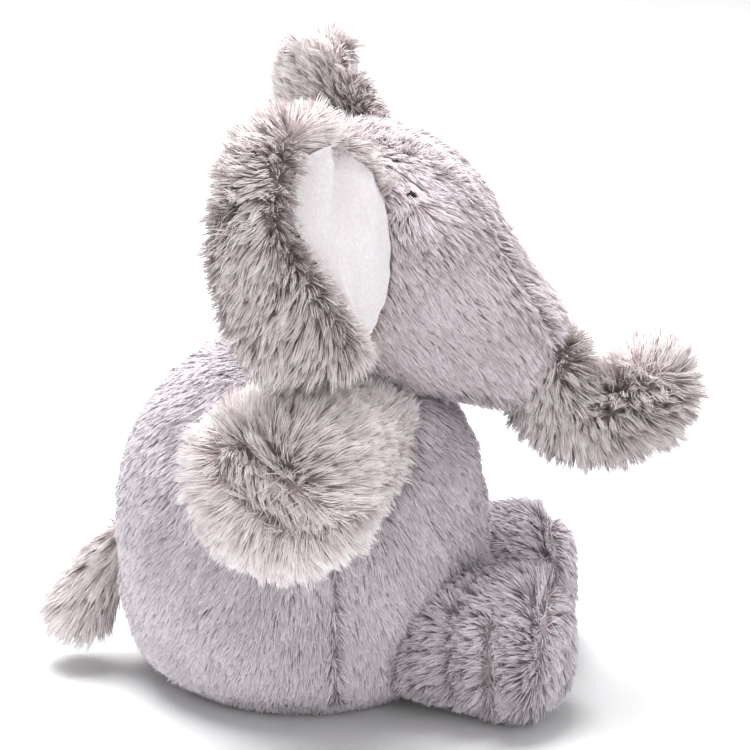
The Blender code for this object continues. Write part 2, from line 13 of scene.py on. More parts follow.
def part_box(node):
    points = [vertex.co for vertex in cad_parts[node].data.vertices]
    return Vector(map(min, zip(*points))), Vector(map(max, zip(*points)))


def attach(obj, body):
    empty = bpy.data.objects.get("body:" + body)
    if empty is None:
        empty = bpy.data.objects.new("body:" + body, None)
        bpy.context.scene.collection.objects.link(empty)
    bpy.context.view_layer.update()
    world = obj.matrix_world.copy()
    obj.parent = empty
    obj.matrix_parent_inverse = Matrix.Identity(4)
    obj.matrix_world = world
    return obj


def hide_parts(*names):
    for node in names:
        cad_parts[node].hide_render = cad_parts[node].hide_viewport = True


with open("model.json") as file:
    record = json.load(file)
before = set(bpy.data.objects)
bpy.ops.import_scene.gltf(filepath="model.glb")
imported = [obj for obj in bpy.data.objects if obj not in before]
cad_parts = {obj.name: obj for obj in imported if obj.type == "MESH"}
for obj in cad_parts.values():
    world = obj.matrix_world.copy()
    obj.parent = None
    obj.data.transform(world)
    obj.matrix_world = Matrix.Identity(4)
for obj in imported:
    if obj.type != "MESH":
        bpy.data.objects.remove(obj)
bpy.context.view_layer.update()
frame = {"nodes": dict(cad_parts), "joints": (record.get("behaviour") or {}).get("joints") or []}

JOINTS = {joint["child"]: joint for joint in frame["joints"]}
MM = 0.001
SEED = 11
rng = np.random.default_rng(SEED)
scene = bpy.context.scene

# The camera and the room

CAMERA_AIM = Vector((3, 0, 135)) * MM
CAMERA_AZIMUTH = radians(4)
CAMERA_ELEVATION = radians(18)
CAMERA_DISTANCE = 1.2
CAMERA_LENS = 137.1
CAMERA_SENSOR = 36
CAMERA_CLIP = (0.05, 50)
FLOOR_HALF = 9.0
FLOOR_COLOUR = (0.86, 0.86, 0.87)
WORLD_STRENGTH = 0.58

# Each light's place, size in metres and power in watts
LIGHTS = {
    "key": ((-0.25, 0.30, 1.5), 1.3, 46),
    "front_fill": ((0.9, -1.4, 0.9), 1.2, 6),
}

# The skins: each body's fabric is one closed puffed form that its fur grows on

SKINS = {
    "body": ["body_back_panel_right", "body_back_panel_left", "body_belly_panel_right",
             "body_belly_panel_left", "body_base_panel"],
    "head": ["head_gusset", "head_panel_right", "head_panel_left"],
    "trunk": ["trunk_panel_right", "trunk_panel_left", "trunk_tip_panel"],
    "tail": ["tail_skin"],
}
INSIDES = {
    "body": ["body_filling", "pellet_bag"],
    "head": ["head_filling"],
    "trunk": ["trunk_filling"],
    "tail": ["tail_filling"],
}
for side in ("right", "left"):
    SKINS[f"ear_{side}"] = [f"ear_{side}_fur_back", f"ear_{side}_lining"]
    INSIDES[f"ear_{side}"] = [f"ear_{side}_wadding"]
    for limb, end in (("arm", "paw"), ("leg", "sole")):
        name = f"{limb}_{side}"
        SKINS[name] = [f"{name}_top_panel", f"{name}_under_panel", f"{name}_{end}_panel"]
        INSIDES[name] = [f"{name}_filling"]

VOXEL = 4 * MM
THIN_VOXEL = 3 * MM
SMOOTH_ROUNDS = 5

# The puffing: pinned at the seams, near other bodies and on the floor
PUFF_FRAMES = 20
PUFF_PRESSURE = 4.0
PUFF_LIMIT = 2.5 * MM
PIN_BY_SEAM = 5 * MM
PIN_BY_NEIGHBOUR = 7 * MM
PIN_BY_FLOOR = 2 * MM
LEAST_PIN = 0.01
FLOOR_CLEARANCE = 0.3 * MM

# How deep the skins are drawn in at their seams, in millimetres, and how far beside them
SEAM_TUCK = {"arm": 3.5, "leg": 2.5, "trunk": 2.5, "body": 1.0}
TUCK_WIDTH = 4 * MM
SEAM_REACH = 0.7 * MM

# The arms swell towards the paw, between these shares of their length
ARM_SWELL = 3 * MM
ARM_SWELL_SHARES = (0.35, 0.7)

# Partings that no seam makes: each leg crease's place along the leg and its lowest and highest angle, and
# how far the trunk's crease is set back from the tip panel and its two ends lie below that panel's middle
LEG_CREASES = [(0.22, -35, 50), (0.62, -45, 35)]
LEG_CREASE_REACH = 40 * MM
LEG_CREASE_STEP = 2.0
TRUNK_CREASE_BACK = 6 * MM
TRUNK_CREASE_DROPS = (6 * MM, 3 * MM)
TRUNK_CREASE_POINTS = 31

# Fur: lengths and parting widths in millimetres, root width in metres, strands per square metre

DENSITIES = {"body": 3.0e6, "head": 2.7e6, "trunk": 2.6e6, "tail": 2.0e6, "ear": 2.4e6, "arm": 2.5e6,
             "leg": 2.6e6}
ROOT_WIDTH = 0.42 * MM
CLUMP_AREAS = {"body": 3.4e-6, "head": 4.0e-6}
CLUMP_AREA = 4.8e-6
MOST_IN_PIECE = 39000
ROWS = np.array([0.0, 0.42, 0.78, 1.0])
ROW_WIDTHS = np.array([1.0, 0.9, 0.55, 0.0])
LENGTHS = {"body": 6.6, "head": 8.2, "trunk": 12.5, "tail": 15.0, "ear": 12.0, "arm": 12.0, "leg": 9.5}
LENGTH_SHARES = {"ear_left": 0.8}
SHORTEST = 3 * MM
LONGEST = 20 * MM
SHORT_BY_FLOOR = 0.35
SHORT_HEIGHTS = (22 * MM, 4 * MM)
SHORTEST_CUT = 1.2 * MM
SAG = np.array([0, 0, -0.18])
SAT_ON_HEIGHT = 5 * MM
SAT_ON_FACING = -0.75
LEANS = {"body": 0.62, "head": 0.60, "trunk": 0.38, "tail": 0.62, "ear": 0.50, "arm": 0.50, "leg": 0.50}
END_PANEL = 2
END_LIE = {"arm": np.array([0.75, 0.0, -0.65]), "leg": np.array([0.0, 0.0, -1.0])}
END_PILE = {"arm": 0.62, "leg": 0.75}
END_LEAN = 0.75
END_PARTING = 0.35
TUFTING = {"body": 0.45, "head": 0.60, "leg": 0.75}
TUFTING_ELSEWHERE = 0.9
SWIRL_SIZE = 26 * MM
SWIRL_SEEDS = (5, 6, 7)
LEAN_SIZE = 18 * MM
LEAN_SEED = 8
SHADE_SIZE = 30 * MM
SHADE_SEED = 9
PARTING_WIDTHS = {"body": 4.0, "head": 4.0, "trunk": 5.0, "tail": 4.0, "ear": 5.0, "arm": 6.0, "leg": 6.0}
PARTING_STRENGTH = {"body": 0.55, "head": 0.5, "trunk": 0.7, "tail": 0.3, "ear": 0.7, "arm": 1.0, "leg": 1.0}

# The lining's visible edge, the crown that the ear's fur is combed away from, and the lining's fold, in
# millimetres from the lining's middle: away from the head, then up. EAR_ROLL is how thick the ear's edge
# is rolled, and no fur grows on the front within BALD_BY_HEAD: nearer the head and higher than these

LINING_EDGE = [(-4, 37), (12, 36), (24, 29), (28, 15), (23, 3), (14, -8), (7, -18), (-3, -29), (-14, -38),
               (-22, -34), (-28, -18), (-30, 0), (-27, 15), (-18, 28)]
EAR_CROWN = [(27, 38), (32, 25), (31, 9), (23, -5), (13, -20), (-3, -38)]
LINING_FOLD = [(8, 31), (9, 10), (5, -8), (-4, -24)]
LINING_REACH = 1.05
LINING_RINGS = 26
LINING_LIFT = 0.9 * MM
LINING_FLAP = 6.0 * MM
LINING_RIPPLE = 0.5 * MM
LINING_RIPPLE_SIZE = 20 * MM
LINING_SEED = 3
LINING_SINK = 7.5 * MM
SINK_BESIDE_FOLD = 10 * MM
SINK_WIDTH = 9 * MM
EAR_ROLL = 5.5 * MM
EAR_ROLL_WIDTH = 26 * MM
HEAD_SIDE_DROP = 2.5 * MM
BALD_BY_HEAD = (-23 * MM, -34 * MM)

# The eyes' beads, mostly sunk in the pile

EYE_RADIUS = 3.7 * MM
EYE_FLATNESS = 0.8
EYE_BACK_FLATNESS = 0.35
EYE_STANDS_OUT = 0.2 * MM
EYE_SEGMENTS = (32, 20)


# Small helpers

def unit(v):
    """The vectors scaled to length 1."""
    return v / np.maximum(np.linalg.norm(v, axis=-1, keepdims=True), 1e-12)


def dot(a, b):
    """The dot product of each pair of rows, as a column."""
    return np.sum(a * b, axis=-1, keepdims=True)


def smooth_step(x, low, high):
    """0 at low, 1 at high, with soft ends; low may be the larger one."""
    t = np.clip((x - low) / (high - low), 0, 1)
    return t * t * (3 - 2 * t)


def waves(p, size, seed):
    """Smooth noise, mostly from -1 to 1, with features of about that size: a few crossed sine waves."""
    draw = np.random.default_rng(seed)
    count = 7
    total = np.zeros(len(p))
    for _ in range(count):
        direction = unit(draw.normal(size=3))
        total += np.sin(p @ direction * 2 * pi / (size * draw.uniform(0.7, 1.6)) + draw.uniform(0, 2 * pi))
    return total * 2 / count


def new_object(name, mesh):
    """The mesh as an object in the scene."""
    obj = bpy.data.objects.new(name, mesh)
    scene.collection.objects.link(obj)
    return obj


def array_of(collection, attribute, width, kind=float):
    """One attribute of a mesh's vertices or faces, as an array of rows of that width."""
    values = np.empty(len(collection) * width, kind)
    collection.foreach_get(attribute, values)
    return values.reshape(-1, width)


def apply_modifiers(obj):
    """The object's mesh as its modifiers leave it, with no modifier left."""
    graph = bpy.context.evaluated_depsgraph_get()
    mesh = bpy.data.meshes.new_from_object(obj.evaluated_get(graph))
    obj.modifiers.clear()
    obj.data = mesh


def cad_mesh(*nodes):
    """The CAD nodes as one mesh, with the vertices that the frame's file had split joined again."""
    bm = bmesh.new()
    for node in nodes:
        bm.from_mesh(frame["nodes"][node].data)
    bmesh.ops.remove_doubles(bm, verts=bm.verts, dist=0.005 * MM)
    mesh = bpy.data.meshes.new(nodes[0])
    bm.to_mesh(mesh)
    bm.free()
    return mesh


def middle(*nodes):
    """The middle of the nodes' common box at rest."""
    points = np.vstack([array_of(frame["nodes"][n].data.vertices, "co", 3) for n in nodes])
    return (points.min(0) + points.max(0)) / 2


def tree_of(*meshes):
    """One search tree over the meshes."""
    corners = []
    faces = []
    for mesh in meshes:
        start = len(corners)
        corners.extend(v.co.copy() for v in mesh.vertices)
        faces.extend(tuple(start + i for i in p.vertices) for p in mesh.polygons)
    return BVHTree.FromPolygons(corners, faces)


def smooth_loop(points, steps=12):
    """A closed curve through the points (Catmull-Rom), as an array."""
    points = np.array(points, float)
    t = (np.arange(steps) / steps)[:, None]
    before, after, beyond = np.roll(points, 1, 0), np.roll(points, -1, 0), np.roll(points, -2, 0)
    parts = []
    for a, b, c, d in zip(before, points, after, beyond):
        parts.append(b + 0.5 * t * (c - a + t * (2 * a - 5 * b + 4 * c - d + t * (3 * (b - c) + d - a))))
    return np.vstack(parts)


def stretch_of(points, step=1.0):
    """Points about that far apart along an open polyline."""
    made = []
    for a, b in zip(np.array(points[:-1], float), np.array(points[1:], float)):
        count = max(2, int(np.linalg.norm(b - a) / step))
        made.extend(a + (b - a) * k / count for k in range(count))
    return np.array(made + [np.array(points[-1], float)])


def nearest_of(outline, q):
    """The nearest of the outline's points to each q, and how far it is."""
    best = np.full(len(q), np.inf)
    found = np.zeros((len(q), q.shape[1]))
    for point in outline:
        far = np.linalg.norm(q - point, axis=1)
        closer = far < best
        best[closer] = far[closer]
        found[closer] = point
    return found, best


def inside_of(outline, q):
    """Which of the places are inside the closed outline."""
    within = np.zeros(len(q), bool)
    for a, b in zip(outline, np.roll(outline, -1, 0)):
        crosses = (a[1] > q[:, 1]) != (b[1] > q[:, 1])
        at = (b[0] - a[0]) * (q[:, 1] - a[1]) / (b[1] - a[1] if b[1] != a[1] else 1e-12) + a[0]
        within ^= crosses & (q[:, 0] < at)
    return within


def ear_axes(body):
    """The lining's middle, and the ways away from the head, to the front and up the ear."""
    _, x, y, z = local_axes(body, middle(f"{body}_fur_back"))
    return middle(f"{body}_lining"), x, y * np.sign(y[0]), z


def on_ear(body, p):
    """Places in the ear's own plane, and how far each is outside the lining's edge (inside: below 0)."""
    centre, x, front, z = ear_axes(body)
    flat = np.column_stack([(p - centre) @ x, (p - centre) @ z])
    edge = smooth_loop(LINING_EDGE) * MM
    far = nearest_of(edge, flat)[1]
    return flat, np.where(inside_of(edge, flat), -far, far)


def local_axes(body, towards):
    """Seam and axes of a limb or ear: X towards a point, Z along its joint if that stands upright."""
    origin = np.array(JOINTS[body]["pos_m"])
    x = unit(towards - origin)
    turn = np.array(JOINTS[body]["axis"])
    z = turn if abs(turn[2]) > 0.5 else np.array([0.0, 0.0, 1.0])
    z = unit(z - x * dot(x, z))
    return origin, x, np.cross(z, x), z


# Materials

def plain(name, colour, roughness=0.75, sheen=0.35):
    """One flat shade of a strand. The fur's colour comes from many strands of different shades."""
    material = bpy.data.materials.new(name)
    material.use_nodes = True
    shader = material.node_tree.nodes["Principled BSDF"]
    shader.inputs["Base Color"].default_value = (*colour, 1)
    shader.inputs["Roughness"].default_value = roughness
    shader.inputs["Sheen Weight"].default_value = sheen
    shader.inputs["Sheen Roughness"].default_value = 0.5
    shader.inputs["Specular IOR Level"].default_value = 0.25
    return material


def patterned(name, low, high, scale, roughness, bump=0.3, sheen=0.3):
    """A fine-grained surface: two shades mixed by noise, with the same noise as its relief."""
    material = bpy.data.materials.new(name)
    material.use_nodes = True
    nodes = material.node_tree.nodes
    links = material.node_tree.links
    shader = nodes["Principled BSDF"]
    place = nodes.new("ShaderNodeTexCoord")
    noise = nodes.new("ShaderNodeTexNoise")
    noise.inputs["Scale"].default_value = scale
    noise.inputs["Detail"].default_value = 6
    noise.inputs["Roughness"].default_value = 0.65
    ramp = nodes.new("ShaderNodeValToRGB")
    ramp.color_ramp.elements[0].position = 0.32
    ramp.color_ramp.elements[0].color = (*low, 1)
    ramp.color_ramp.elements[1].position = 0.68
    ramp.color_ramp.elements[1].color = (*high, 1)
    bumps = nodes.new("ShaderNodeBump")
    bumps.inputs["Strength"].default_value = bump
    bumps.inputs["Distance"].default_value = 0.4 * MM
    links.new(place.outputs["Object"], noise.inputs["Vector"])
    links.new(noise.outputs["Fac"], ramp.inputs["Fac"])
    links.new(ramp.outputs["Color"], shader.inputs["Base Color"])
    links.new(noise.outputs["Fac"], bumps.inputs["Height"])
    links.new(bumps.outputs["Normal"], shader.inputs["Normal"])
    shader.inputs["Roughness"].default_value = roughness
    shader.inputs["Sheen Weight"].default_value = sheen
    return material


# Fur: its colours near the tips, the shades that each is spread over, and the parts of a strand

SHADES = 4
DARKEST = 0.86
SHADE_SPREAD = 0.28
BRIGHTEST = 0.90
# Each strand's colour by its part: the darker root is painted shade, standing in for the shadow deep in the
# pile, and the tip is a little lighter than the middle
STRAND_PARTS = {"root": 0.66, "middle": 0.95, "tip": 1.08}
# The warmer tint of the root is part of that painted shade
ROOT_SHADE_TINT = np.array([1.04, 0.96, 0.96])
GREY = np.array([0.700, 0.645, 0.690])
MAUVE = np.array([0.755, 0.675, 0.710])
TAUPE = np.array([0.830, 0.745, 0.745])
TONES = {"body": "grey", "leg": "grey", "head": "mauve"}


def fur_shades(name, tip):
    """Strand shades, each with a root darkened by painted shade, a middle and a tip: rows of three material
    slots.
    """
    made = []
    for shade in range(SHADES):
        lightness = DARKEST + SHADE_SPREAD * shade / (SHADES - 1)
        for part, share in STRAND_PARTS.items():
            colour = np.clip(tip * lightness * share, 0, BRIGHTEST)
            # The root's colour is painted shade, with its warmer tint
            if part == "root":
                colour = colour * ROOT_SHADE_TINT
            made.append(plain(f"{name}_{part}_{shade}", tuple(colour)))
    return made


FUR_SLOTS = {"grey": fur_shades("fur_grey", GREY), "mauve": fur_shades("fur_mauve", MAUVE),
             "warm": fur_shades("fur_taupe", TAUPE)}
# The skin seen between the strands: a backing fabric with a noise grain, its dark colour being painted shade
# that stands in for the shadowed lower pile, which is not grown
SKIN_PILE_SHADE = patterned("backing_painted_pile_shade", (0.38, 0.33, 0.34), (0.50, 0.45, 0.46), 900, 0.95)
LINING_CLOTH = patterned("short_pile_lining", (0.73, 0.69, 0.715), (0.85, 0.81, 0.825), 700, 0.95, bump=0.55,
                         sheen=0.1)
EYE_GLOSS = patterned("eye_gloss", (0.012, 0.010, 0.011), (0.02, 0.016, 0.018), 300, 0.08, bump=0.02,
                      sheen=0)
WASHER_PLASTIC = patterned("washer_plastic", (0.60, 0.60, 0.58), (0.68, 0.68, 0.66), 500, 0.5, sheen=0)


# Skins

def skin_form(name, nodes, voxel):
    """The group's CAD solids as one closed quad mesh, with only its largest surface kept."""
    obj = new_object(name, cad_mesh(*nodes))
    remesh = obj.modifiers.new("Remesh", "REMESH")
    remesh.mode = "VOXEL"
    remesh.voxel_size = voxel
    smooth = obj.modifiers.new("Smooth", "SMOOTH")
    smooth.factor = 0.5
    smooth.iterations = SMOOTH_ROUNDS
    apply_modifiers(obj)
    bm = bmesh.new()
    bm.from_mesh(obj.data)
    for island in sorted(islands_of(bm), key=len)[:-1]:
        bmesh.ops.delete(bm, geom=island, context="VERTS")
    bm.to_mesh(obj.data)
    bm.free()
    return obj


def islands_of(bm):
    """The vertices of each unconnected piece of the mesh."""
    islands = []
    unseen = set(bm.verts)
    while unseen:
        stack = [unseen.pop()]
        island = []
        while stack:
            vertex = stack.pop()
            island.append(vertex)
            for edge in vertex.link_edges:
                other = edge.other_vert(vertex)
                if other in unseen:
                    unseen.remove(other)
                    stack.append(other)
        islands.append(island)
    return islands


def seam_points(nodes):
    """Points about 1 mm apart along the edges where two panels meet, and a search tree for each panel.

    A leg's fur is parted only round its sole, so its other seams are left out."""
    meshes = [cad_mesh(n) for n in nodes]
    trees = [tree_of(m) for m in meshes]
    points = []
    for i, mesh in enumerate(meshes):
        co = array_of(mesh.vertices, "co", 3)
        for j, tree in enumerate(trees):
            if i == j or (nodes[0].startswith("leg") and not nodes[i].endswith("sole_panel")):
                continue
            near = [tree.find_nearest(Vector(p), SEAM_REACH)[0] is not None for p in co]
            for edge in mesh.edges:
                a, b = edge.vertices
                if near[a] and near[b]:
                    steps = max(2, int(np.linalg.norm(co[a] - co[b]) / MM))
                    points.extend(co[a] + (co[b] - co[a]) * k / steps for k in range(steps + 1))
    return points, trees


def creases(body):
    """Partings that no seam makes: two round each leg's outer side, one along each side of the trunk."""
    points = []
    side = -1 if body.endswith("right") else 1
    if body.startswith("leg"):
        origin, x, y, z = local_axes(body, middle(SKINS[body][-1]))
        outward = y * np.sign(y[1]) * side
        half = np.ptp(array_of(frame["nodes"][SKINS[body][-1]].data.vertices, "co", 3)[:, 2]) / 2
        for share, low, high in LEG_CREASES:
            for angle in np.radians(np.arange(low, high, LEG_CREASE_STEP)):
                points.append(origin + x * share * LEG_CREASE_REACH
                              + half * (outward * cos(angle) + z * sin(angle)))
    if body == "trunk":
        low, high = (np.array(corner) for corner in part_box("trunk_tip_panel"))
        height = (low[2] + high[2]) / 2
        start = np.array([low[0] - TRUNK_CREASE_BACK, 0, height - TRUNK_CREASE_DROPS[0]])
        end = np.array([high[0] - TRUNK_CREASE_BACK, 0, height - TRUNK_CREASE_DROPS[1]])
        for across in (low[1], high[1]):
            for share in np.linspace(0, 1, TRUNK_CREASE_POINTS):
                points.append(start + (end - start) * share + np.array([0, across, 0]))
    return points


def kd_of(points):
    """A search tree for the nearest of the points."""
    tree = KDTree(len(points))
    for i, p in enumerate(points):
        tree.insert(Vector(p), i)
    tree.balance()
    return tree


def puff(objects):
    """A short cloth simulation: the skins swell between their pinned seams, and keep their new shape."""
    for obj, pins in objects:
        group = obj.vertex_groups.new(name="seams")
        for i, weight in enumerate(pins):
            if weight > LEAST_PIN:
                group.add([i], float(weight), "REPLACE")
        cloth = obj.modifiers.new("Cloth", "CLOTH")
        cloth.settings.use_pressure = True
        cloth.settings.uniform_pressure_force = PUFF_PRESSURE
        cloth.settings.effector_weights.gravity = 0
        cloth.settings.vertex_group_mass = "seams"
        cloth.point_cache.frame_start = 1
        cloth.point_cache.frame_end = PUFF_FRAMES
    for number in range(1, PUFF_FRAMES + 1):
        scene.frame_set(number)
    graph = bpy.context.evaluated_depsgraph_get()
    for obj, pins in objects:
        rest = array_of(obj.data.vertices, "co", 3)
        puffed = array_of(obj.evaluated_get(graph).data.vertices, "co", 3)
        move = puffed - rest
        far = np.linalg.norm(move, axis=1, keepdims=True)
        move = move * np.minimum(1, PUFF_LIMIT / np.maximum(far, 1e-9))
        obj.modifiers.clear()
        obj.vertex_groups.clear()
        obj.data.vertices.foreach_set("co", (rest + move).ravel())
        obj.data.update()
    scene.frame_set(1)


def lining_hollow(flat):
    """How deep the ear's face sinks on the head's side of the fold, from places in the ear's own plane."""
    fold = stretch_of(LINING_FOLD) * MM
    nearest = nearest_of(fold, flat)[0]
    beside = flat[:, 0] - nearest[:, 0]
    depth = LINING_SINK * np.exp(-((beside + SINK_BESIDE_FOLD) / SINK_WIDTH) ** 2)
    return depth * smooth_step(flat[:, 1], -6 * MM, 26 * MM) * smooth_step(beside, 1 * MM, -1 * MM)


def finish_skin(obj, body, seams):
    """The puffed skin made finer, tucked in at its seams, and shaped where its body needs it."""
    kind = body.split("_")[0]
    subdivide = obj.modifiers.new("Subdivision", "SUBSURF")
    subdivide.levels = 1
    subdivide.render_levels = 1
    apply_modifiers(obj)
    co = array_of(obj.data.vertices, "co", 3)
    co[:, 2] = np.maximum(co[:, 2], FLOOR_CLEARANCE)
    normals = array_of(obj.data.vertices, "normal", 3)
    if kind in SEAM_TUCK and len(seams):
        tree = kd_of(seams)
        far = np.array([tree.find(Vector(q))[2] for q in co])
        tuck = SEAM_TUCK[kind] * MM * np.exp(-(far / TUCK_WIDTH) ** 2)
        co -= normals * tuck[:, None]
    if kind == "arm":
        paw = middle(SKINS[body][-1])
        origin, x, _, _ = local_axes(body, paw)
        share = (co - origin) @ x / ((paw - origin) @ x)
        co += normals * (ARM_SWELL * smooth_step(share, *ARM_SWELL_SHARES))[:, None]
    if kind == "ear":
        front = ear_axes(body)[2]
        flat, outside = on_ear(body, co)
        facing = smooth_step(normals @ front, -0.1, 0.4)
        share = np.clip(outside / EAR_ROLL_WIDTH, 0, 1)
        head_side = smooth_step(flat[:, 0], -18 * MM, -8 * MM)
        co -= front * (lining_hollow(flat) * facing)[:, None]
        co -= front * (HEAD_SIDE_DROP * facing * smooth_step(flat[:, 0], -18 * MM, -27 * MM))[:, None]
        co += front * (EAR_ROLL * np.sin(pi * share) ** 0.8 * facing * head_side)[:, None]
    obj.data.vertices.foreach_set("co", co.ravel())
    obj.data.polygons.foreach_set("use_smooth", np.ones(len(obj.data.polygons), bool))
    obj.data.materials.clear()
    # The skin wears the backing whose dark colour is painted pile shade
    obj.data.materials.append(SKIN_PILE_SHADE)
    obj.data.update()


# Combing: for each root, the way its strand lies, how far it leans, and its share of the full length

def comb_body(p, n):
    """Down, and away from a line a little in front of the middle."""
    centre = middle(*SKINS["body"])
    sideways = np.clip((p[:, 0] - centre[0] - 15 * MM) / (60 * MM), -1, 1)
    flow = np.column_stack([0.75 * sideways, np.zeros(len(p)), -np.ones(len(p))])
    return flow, np.full(len(p), LEANS["body"]), np.full(len(p), 1.0)


def comb_head(p, n):
    """Towards the snout and a little down, over the top of each eye and away from its lower half."""
    snout = np.array(JOINTS["trunk"]["pos_m"])
    flow = unit(snout - p)
    flow[:, 2] -= 0.35
    flow[:, 1] += 0.15 * np.sign(p[:, 1])
    lean = np.full(len(p), LEANS["head"])
    length = np.full(len(p), 1.0)
    for side in ("right", "left"):
        eye = middle(f"eye_{side}")
        away = p - eye
        far = np.linalg.norm(away, axis=1)
        near = np.exp(-(far / (15 * MM)) ** 2)[:, None]
        above = smooth_step(away[:, 2] - 0.4 * away[:, 0], -2 * MM, 2 * MM)[:, None]
        over_eye = np.array([0.35, 0, -0.9]) * above + unit(away) * (1 - above)
        flow = flow * (1 - near) + over_eye * near * 1.3
        lean += 0.06 * near[:, 0]
        length += 0.25 * near[:, 0]
    length += 0.25 * smooth_step(dot(p - snout, np.array([-1.0, 0, 0]))[:, 0], 40 * MM, 0)
    return flow, lean, length


def comb_trunk(p, n):
    """Round the trunk's bend, and spreading away from its middle."""
    start = np.array(JOINTS["trunk"]["pos_m"])
    tip = middle("trunk_tip_panel")
    centre = middle("trunk_panel_right", "trunk_panel_left")
    pivot = np.array([(start[0] + tip[0]) / 2, 0, max(start[2], tip[2])])
    spoke = p - pivot
    spoke[:, 1] = 0
    around = np.column_stack([-spoke[:, 2], np.zeros(len(p)), spoke[:, 0]])
    flow = 0.5 * unit(around) + 0.25 * unit(p - centre)
    return flow, np.full(len(p), LEANS["trunk"]), np.full(len(p), 1.0)


def comb_tail(p, n):
    """Along the tail, longer towards its end."""
    start = np.array(JOINTS["tail"]["pos_m"])
    end = middle("tail_skin")
    along = unit(end - start)
    share = (dot(p - start, along) / np.linalg.norm(end - start))[:, 0] / 2
    length = 0.85 + 0.45 * smooth_step(share, 0.5, 1)
    return np.tile(along, (len(p), 1)), np.full(len(p), LEANS["tail"]), length


def comb_limb(body):
    """Outwards from the limb's middle line and back towards the body, longer near the limb's end."""
    end = middle(SKINS[body][-1])
    origin, x, _, _ = local_axes(body, end)
    reach = dot(end - origin, x)[0]
    own_lean = LEANS[body.split("_")[0]]

    def comb(p, n):
        share = dot(p - origin, x)[:, 0] / reach
        radial = unit(p - origin - x * dot(p - origin, x))
        flow = 0.9 * radial - 0.75 * x
        length = 0.85 + 0.2 * smooth_step(share, 0.55, 0.85)
        return flow, np.full(len(p), own_lean), length
    return comb


def comb_ear(body):
    """Outwards on the back; on the front away from the crown, short beside the lining and the head."""
    _, x, front, z = ear_axes(body)
    crown = stretch_of(EAR_CROWN) * MM

    def comb(p, n):
        flat, outside = on_ear(body, p)
        on_front = smooth_step((n @ front), -0.1, 0.5)
        away, far = nearest_of(crown, flat)
        away = unit(flat - away)
        from_crown = away[:, :1] * x + away[:, 1:] * z
        spoke = unit(flat)
        outward = spoke[:, :1] * x + spoke[:, 1:] * z
        flow = outward * (1 - on_front[:, None]) + from_crown * on_front[:, None]
        flow[:, 2] -= 0.2
        lean = LEANS["ear"] - 0.35 * on_front * np.exp(-(far / (6 * MM)) ** 2)
        beside_head = on_front * smooth_step(flat[:, 0], -22 * MM, -28 * MM)
        over_lining = on_front * smooth_step(outside, 9 * MM, 2 * MM)
        lean -= 0.2 * over_lining
        return flow, np.maximum(lean, 0.1), (1 - 0.7 * beside_head) * (1 - 0.5 * over_lining)
    return comb


COMBS = {"body": comb_body, "head": comb_head, "trunk": comb_trunk, "tail": comb_tail}
for side in ("right", "left"):
    COMBS[f"ear_{side}"] = comb_ear(f"ear_{side}")
    for limb in ("arm", "leg"):
        COMBS[f"{limb}_{side}"] = comb_limb(f"{limb}_{side}")


# Growing the fur

def sample_roots(mesh, density):
    """Evenly random roots on a mesh, with the smooth normal and the nearest corner at each."""
    mesh.calc_loop_triangles()
    corners = array_of(mesh.loop_triangles, "vertices", 3, np.int32)
    co = array_of(mesh.vertices, "co", 3)
    normals = array_of(mesh.vertices, "normal", 3)
    a, b, c = (co[corners[:, k]] for k in range(3))
    area = np.linalg.norm(np.cross(b - a, c - a), axis=1) / 2
    count = int(area.sum() * density)
    pick = rng.choice(len(area), count, p=area / area.sum())
    r, s = np.sqrt(rng.random(count)), rng.random(count)
    shares = np.column_stack([1 - r, r * (1 - s), r * s])
    chosen = corners[pick]
    p = sum(co[chosen[:, k]] * shares[:, k:k + 1] for k in range(3))
    n = sum(normals[chosen[:, k]] * shares[:, k:k + 1] for k in range(3))
    return p, unit(n), chosen[np.arange(count), shares.argmax(1)]


def away_from_seams(p, n, seams):
    """How far each root is from the nearest seam, and the way along the skin that leads away from it."""
    if not len(seams):
        return np.full(len(p), 1.0), np.zeros_like(p)
    tree = kd_of(seams)
    nearest = np.array([tree.find(Vector(q))[0] for q in p])
    away = p - nearest
    away -= n * dot(away, n)
    return np.linalg.norm(p - nearest, axis=1), unit(away)


def choose_roots(body, skin, panel_trees, density):
    """The strands' roots with their normals and the panels that they stand on."""
    vertex_panel = np.zeros(len(skin.data.vertices), int)
    best = np.full(len(vertex_panel), 1.0)
    for k, tree in enumerate(panel_trees):
        far = np.array([tree.find_nearest(vertex.co)[3] for vertex in skin.data.vertices])
        closer = far < best
        vertex_panel[closer] = k
        best[closer] = far[closer]
    p, n, corner = sample_roots(skin.data, density)
    panel = vertex_panel[corner]
    sat_on = (n[:, 2] < SAT_ON_FACING) & (p[:, 2] < SAT_ON_HEIGHT)
    keep = ~sat_on
    if body.startswith("ear"):
        front = ear_axes(body)[2]
        flat, outside = on_ear(body, p)
        by_head = (flat[:, 0] < BALD_BY_HEAD[0]) & (flat[:, 1] > BALD_BY_HEAD[1])
        keep &= (n @ front < 0.15) | ((outside > 0) & ~by_head)
        panel[:] = 0
    return p[keep], n[keep], panel[keep]


def lie_of(body, p, n, panel, seams):
    """The combed lie along the skin, the lean and the share of the full length, parted at the seams."""
    kind = body.split("_")[0]
    flow, lean, length_share = COMBS[body](p, n)
    parting, away = away_from_seams(p, n, seams)
    near_seam = PARTING_STRENGTH[kind] * np.exp(-(parting / (PARTING_WIDTHS[kind] * MM)) ** 2)[:, None]
    if kind in ("arm", "leg"):
        on_end = panel == END_PANEL
        along = END_LIE[kind]
        flow[on_end] = along - n[on_end] * dot(n[on_end], along)
        near_seam[on_end] *= END_PARTING
        lean = np.where(on_end, END_LEAN, lean)
        length_share = np.where(on_end, END_PILE[kind], length_share)
    flow = flow - n * dot(flow, n)
    flow = unit(flow) * np.minimum(np.linalg.norm(flow, axis=1, keepdims=True), 1)
    return flow * (1 - near_seam) + away * near_seam, lean, length_share


